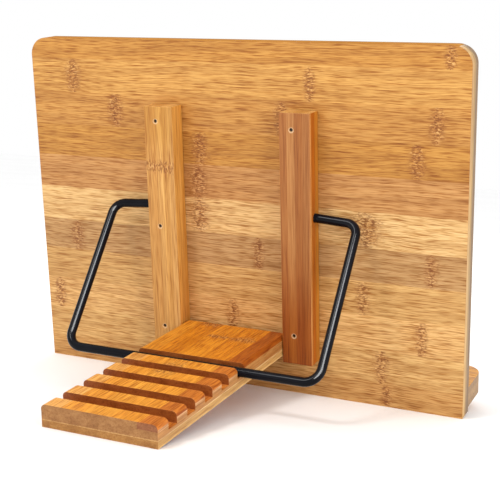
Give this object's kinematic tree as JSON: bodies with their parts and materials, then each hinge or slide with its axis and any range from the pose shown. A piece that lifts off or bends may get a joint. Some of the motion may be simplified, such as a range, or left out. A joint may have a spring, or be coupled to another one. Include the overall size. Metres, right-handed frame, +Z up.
{
  "type": "book stand",
  "caption": "Folding bamboo book and tablet reading stand with a slotted prop foot, a wire bail, a fold-up tray and page clips.",
  "frame": {"origin": "centre of the bounding box's bottom, on the surface that the stand is on", "axes": "+X to the reader's right along the panel, +Y away from the reader to the prop side, +Z up"},
  "size_m": [0.34, 0.2588, 0.2529],
  "materials": {
    "panel_bamboo": "satin lacquer, grain across the panel, strips glued edge to edge",
    "left_rail_bamboo": "satin lacquer, redder brown",
    "right_rail_bamboo": "satin lacquer, light yellow",
    "foot_bamboo": "satin lacquer, orange tan",
    "tray_bamboo": "satin lacquer, warm tan",
    "black_wire": "gloss black",
    "steel": "satin zinc plate",
    "rubber": "matt black"
  },
  "bodies": {
    "back": {"back_panel": "panel_bamboo", "left_rail": "left_rail_bamboo", "right_rail": "right_rail_bamboo", "left_brad_1": "steel", "left_brad_2": "steel", "right_brad_1": "steel", "right_brad_2": "steel", "right_brad_3": "steel", "foot_hinge_rod": "steel", "left_hinge_panel_leaf": "steel", "left_hinge_pin": "steel", "left_hinge_panel_screw_1": "steel", "left_hinge_panel_screw_2": "steel", "right_hinge_panel_leaf": "steel", "right_hinge_pin": "steel", "right_hinge_panel_screw_1": "steel", "right_hinge_panel_screw_2": "steel"},
    "foot": {"foot_board": "foot_bamboo"},
    "bail": {"bail_wire": "black_wire"},
    "tray": {"tray_board": "tray_bamboo", "left_hinge_tray_leaf": "steel", "left_hinge_tray_screw_1": "steel", "left_hinge_tray_screw_2": "steel", "left_clip_bracket": "steel", "left_clip_screw_1": "steel", "left_clip_screw_2": "steel", "right_hinge_tray_leaf": "steel", "right_hinge_tray_screw_1": "steel", "right_hinge_tray_screw_2": "steel", "right_clip_bracket": "steel", "right_clip_screw_1": "steel", "right_clip_screw_2": "steel"},
    "left_clip": {"left_clip_finger": "black_wire", "left_clip_tip": "rubber"},
    "right_clip": {"right_clip_finger": "black_wire", "right_clip_tip": "rubber"}
  },
  "joints": [
    {"name": "foot_fold", "type": "hinge", "parent": "back", "child": "foot", "pos_m": [0, -0.05267, 0.03787], "axis": [1, 0, 0], "range_deg": [0, 88.1]},
    {"name": "bail_swing", "type": "hinge", "parent": "back", "child": "bail", "pos_m": [0, -0.03434, 0.1318], "axis": [1, 0, 0], "range_deg": [0, 140]},
    {"name": "tray_fold", "type": "hinge", "parent": "back", "child": "tray", "pos_m": [0, -0.08247, 0.02075], "axis": [-1, 0, 0], "range_deg": [0, 90]},
    {"name": "left_clip_turn", "type": "hinge", "parent": "tray", "child": "left_clip", "pos_m": [-0.062, -0.12402, 0.02917], "axis": [1, 0, 0], "range_deg": [0, 121.5]},
    {"name": "right_clip_turn", "type": "hinge", "parent": "tray", "child": "right_clip", "pos_m": [0.062, -0.12402, 0.02917], "axis": [1, 0, 0], "range_deg": [0, 121.5]}
  ],
  "couplings": [
    {"joint": "left_clip_turn", "follows": "tray_fold", "ratio": 1.3444},
    {"joint": "right_clip_turn", "follows": "tray_fold", "ratio": 1.3444}
  ]
}
